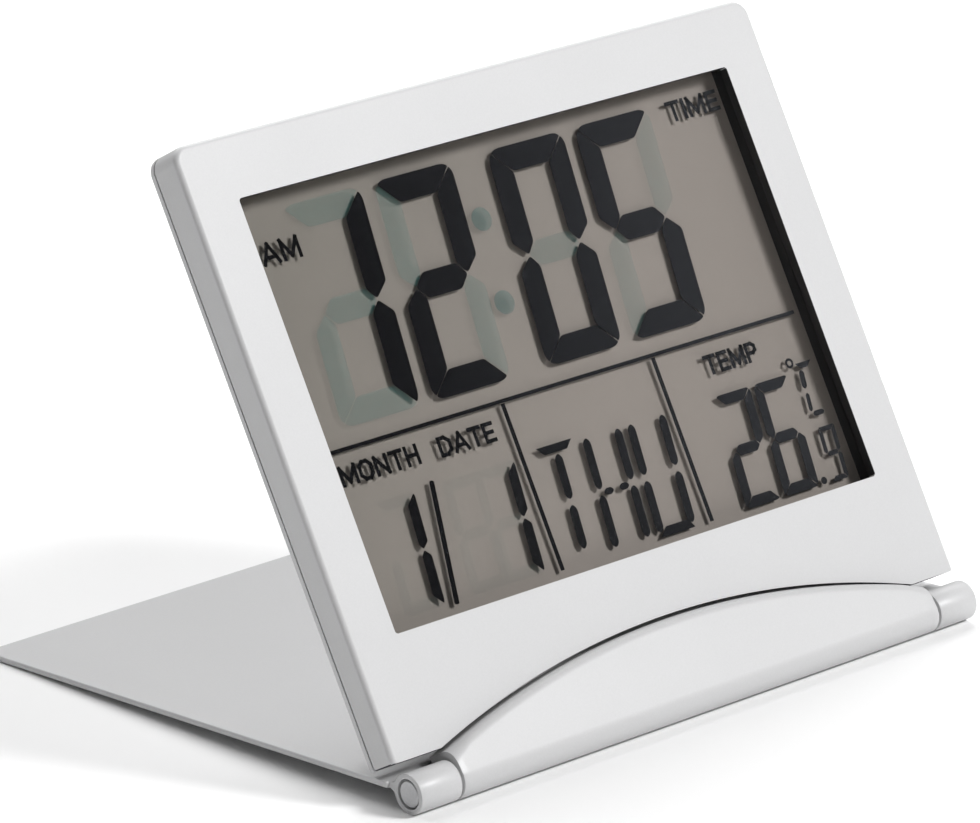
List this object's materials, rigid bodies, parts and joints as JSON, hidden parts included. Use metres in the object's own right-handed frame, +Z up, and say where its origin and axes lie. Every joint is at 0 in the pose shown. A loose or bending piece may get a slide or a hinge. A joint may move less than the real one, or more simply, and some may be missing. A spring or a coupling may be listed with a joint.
{
  "type": "travel alarm clock",
  "caption": "Slim folding travel alarm clock: a silver case with a large LCD leans back on a flat lid that swings right round its hinge to stand behind it.",
  "frame": {"origin": "centre of the bounding box at the level of the surface the clock stands on", "axes": "+X along the hinge, towards the right of someone reading the display; the display faces -Y and leans back; the lid lies behind, towards +Y; +Z up"},
  "size_m": [0.108, 0.0964, 0.0855],
  "materials": {
    "silver_plastic": "satin silver paint on moulded plastic",
    "steel": "bright",
    "nylon": "natural",
    "clear_acrylic": "clear, polished",
    "polarizer": "neutral grey film",
    "display_glass": "clear glass with dark printed display segments",
    "reflector": "warm grey satin film",
    "holder_plastic": "moulded in black",
    "elastomer": "layered conductive rubber",
    "board": "green solder resist",
    "epoxy": "black epoxy",
    "component": "moulded or coated",
    "key_grey": "satin",
    "plated_spring": "nickel plated",
    "brass": "bright",
    "ceramic": "silvered ceramic"
  },
  "bodies": {
    "case": {"front_bezel": "silver_plastic", "rear_cover": "silver_plastic", "hinge_bridge": "silver_plastic", "window_lens": "clear_acrylic", "front_polarizer": "polarizer", "lcd_front_glass": "display_glass", "lcd_rear_glass": "display_glass", "rear_reflector": "reflector", "display_holder": "holder_plastic", "zebra_strip": "elastomer", "circuit_board": "board", "controller_chip": "epoxy", "quartz_crystal": "steel", "ceramic_capacitor": "component", "filter_capacitor": "component", "bias_resistor": "component", "buzzer_coil": "component", "thermistor": "component", "key_switch_1": "component", "key_switch_2": "component", "key_switch_3": "component", "key_switch_4": "component", "button_cell": "steel", "battery_contact_negative": "plated_spring", "battery_contact_positive": "plated_spring", "buzzer_plate": "brass", "buzzer_ceramic": "ceramic", "board_screw_1": "steel", "board_screw_2": "steel", "board_screw_3": "steel", "board_screw_4": "steel", "bridge_screw_left": "steel", "bridge_screw_right": "steel", "case_screw_1": "steel", "case_screw_2": "steel", "case_screw_3": "steel", "case_screw_4": "steel"},
    "lid": {"stand_lid": "silver_plastic", "hinge_pin_left": "steel", "hinge_pin_right": "steel", "friction_washer_left": "nylon", "friction_washer_right": "nylon"},
    "mode_key": {"mode_key": "key_grey"},
    "set_key": {"set_key": "key_grey"},
    "up_key": {"up_key": "key_grey"},
    "down_key": {"down_key": "key_grey"},
    "battery_door": {"battery_door": "silver_plastic"}
  },
  "joints": [
    {"name": "lid_fold", "type": "hinge", "parent": "case", "child": "lid", "pos_m": [0, -0.04528, 0.0029], "axis": [-1, 0, 0], "range_deg": [0, 295.6]},
    {"name": "mode_press", "type": "slide", "parent": "case", "child": "mode_key", "axis": [0, -0.887, 0.4617], "range_m": [0, 0.0005], "stiffness_N_per_m": 600, "springref_m": -0.001},
    {"name": "set_press", "type": "slide", "parent": "case", "child": "set_key", "axis": [0, -0.887, 0.4617], "range_m": [0, 0.0005], "stiffness_N_per_m": 600, "springref_m": -0.001},
    {"name": "up_press", "type": "slide", "parent": "case", "child": "up_key", "axis": [0, -0.887, 0.4617], "range_m": [0, 0.0005], "stiffness_N_per_m": 600, "springref_m": -0.001},
    {"name": "down_press", "type": "slide", "parent": "case", "child": "down_key", "axis": [0, -0.887, 0.4617], "range_m": [0, 0.0005], "stiffness_N_per_m": 600, "springref_m": -0.001},
    {"name": "battery_door_turn", "type": "hinge", "parent": "case", "child": "battery_door", "pos_m": [0.0325, -0.01744, 0.03125], "axis": [0, -0.887, 0.4617], "range_deg": [0, 45]}
  ]
}
